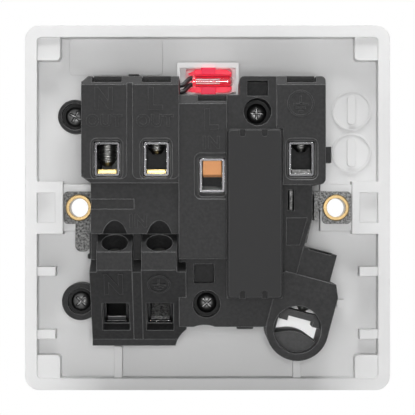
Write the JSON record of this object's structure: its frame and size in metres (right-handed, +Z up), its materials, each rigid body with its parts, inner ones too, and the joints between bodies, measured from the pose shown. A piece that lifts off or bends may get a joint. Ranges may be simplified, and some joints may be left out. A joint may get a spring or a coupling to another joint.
{
  "type": "fused spur unit",
  "caption": "Switched fused connection unit with flex outlet and neon for a single wall box: square white front plate, black rear housing with terminals, earth straps and cord clamp.",
  "frame": {"origin": "midway between the two fixing holes, at the plane of the plate's rear edge that meets the wall", "axes": "+X right and +Z up for someone facing the plate from the room, +Y into the wall box"},
  "size_m": [0.0856, 0.0327, 0.0856],
  "materials": {
    "plate_white": "moulded white, satin",
    "housing_black": "fine spark texture",
    "cage_steel": "folded, zinc plated",
    "screw_steel": "zinc plated",
    "case_screw": "blackened steel",
    "brass_bar": "stamped strip",
    "copper_bar": null,
    "strap_steel": "stamped, zinc plated",
    "eyelet_brass": "rolled tube",
    "spring_wire": "drawn wire",
    "plunger_nylon": "moulded nylon",
    "fuse_ceramic": null,
    "fuse_cap": "nickel plated brass cup",
    "neon_red": "clear red moulding",
    "neon_glass": "drawn glass",
    "lead_black": "sleeved wire"
  },
  "bodies": {
    "unit": {"front_plate": "plate_white", "rear_housing": "housing_black", "fuse_cover": "housing_black", "cage_neutral_out": "cage_steel", "cage_line_out": "cage_steel", "cage_earth_out": "cage_steel", "cage_line_in": "cage_steel", "cage_neutral_in": "cage_steel", "cage_earth_in": "cage_steel", "bar_neutral_out": "brass_bar", "bar_line_out": "brass_bar", "bar_line_in": "copper_bar", "bar_fuse_out": "brass_bar", "bar_neutral_in": "brass_bar", "earth_strap_left": "strap_steel", "earth_strap_right": "strap_steel", "eyelet_left": "eyelet_brass", "eyelet_right": "eyelet_brass", "case_screw_1": "case_screw", "case_screw_2": "case_screw", "case_screw_3": "case_screw", "case_screw_4": "case_screw", "contact_line": "brass_bar", "contact_neutral": "brass_bar", "neon_lens": "neon_red", "neon_holder": "neon_red", "neon_tube": "neon_glass", "neon_electrodes": "spring_wire", "neon_lead_upper": "lead_black", "neon_lead_lower": "lead_black"},
    "rocker": {"rocker": "plate_white", "plunger_line": "plunger_nylon", "plunger_neutral": "plunger_nylon", "spring_line": "spring_wire", "spring_neutral": "spring_wire"},
    "lever_line": {"lever_line": "brass_bar"},
    "lever_neutral": {"lever_neutral": "brass_bar"},
    "fuse_carrier": {"fuse_carrier": "plate_white", "fuse_body": "fuse_ceramic", "fuse_cap_upper": "fuse_cap", "fuse_cap_lower": "fuse_cap"},
    "clamp": {"clamp_jaw": "housing_black", "clamp_screw": "screw_steel"},
    "screw_neutral_out": {"screw_neutral_out": "screw_steel"},
    "screw_line_out": {"screw_line_out": "screw_steel"},
    "screw_earth_out": {"screw_earth_out": "screw_steel"},
    "screw_line_in": {"screw_line_in": "screw_steel"},
    "screw_neutral_in": {"screw_neutral_in": "screw_steel"},
    "screw_earth_in": {"screw_earth_in": "screw_steel"}
  },
  "joints": [
    {"name": "rocker_tilt", "type": "hinge", "parent": "unit", "child": "rocker", "pos_m": [0.011, -0.0044, -0.003], "axis": [1, 0, 0], "range_deg": [0, 14]},
    {"name": "lever_line", "type": "hinge", "parent": "unit", "child": "lever_line", "pos_m": [0.0065, 0.0044, -0.003], "axis": [1, 0, 0], "range_deg": [-10, 0]},
    {"name": "lever_neutral", "type": "hinge", "parent": "unit", "child": "lever_neutral", "pos_m": [0.0155, 0.0044, -0.003], "axis": [1, 0, 0], "range_deg": [-10, 0]},
    {"name": "fuse_draw", "type": "slide", "parent": "unit", "child": "fuse_carrier", "axis": [0, -1, 0], "range_m": [0, 0.02]},
    {"name": "clamp_neutral_out", "type": "slide", "parent": "unit", "child": "screw_neutral_out", "axis": [0, 0, 1], "range_m": [-0.0005, 0.00465]},
    {"name": "clamp_line_out", "type": "slide", "parent": "unit", "child": "screw_line_out", "axis": [0, 0, 1], "range_m": [-0.0032, 0.00195]},
    {"name": "clamp_earth_out", "type": "slide", "parent": "unit", "child": "screw_earth_out", "axis": [0, 0, 1], "range_m": [-0.0037, 0.00145]},
    {"name": "clamp_line_in", "type": "slide", "parent": "unit", "child": "screw_line_in", "axis": [0, 0, 1], "range_m": [-0.0048, 0.0013]},
    {"name": "clamp_neutral_in", "type": "slide", "parent": "unit", "child": "screw_neutral_in", "axis": [0, 0.6157, 0.788], "range_m": [-0.00475, 0.0004]},
    {"name": "clamp_earth_in", "type": "slide", "parent": "unit", "child": "screw_earth_in", "axis": [0, 0.6157, 0.788], "range_m": [-0.00485, 0.0003]},
    {"name": "cord_clamp", "type": "slide", "parent": "unit", "child": "clamp", "axis": [0.2588, 0, -0.9659], "range_m": [-0.004, 0.0022]}
  ],
  "couplings": [
    {"joint": "lever_line", "follows": "rocker_tilt", "ratio": -0.71429},
    {"joint": "lever_neutral", "follows": "rocker_tilt", "ratio": -0.71429}
  ]
}
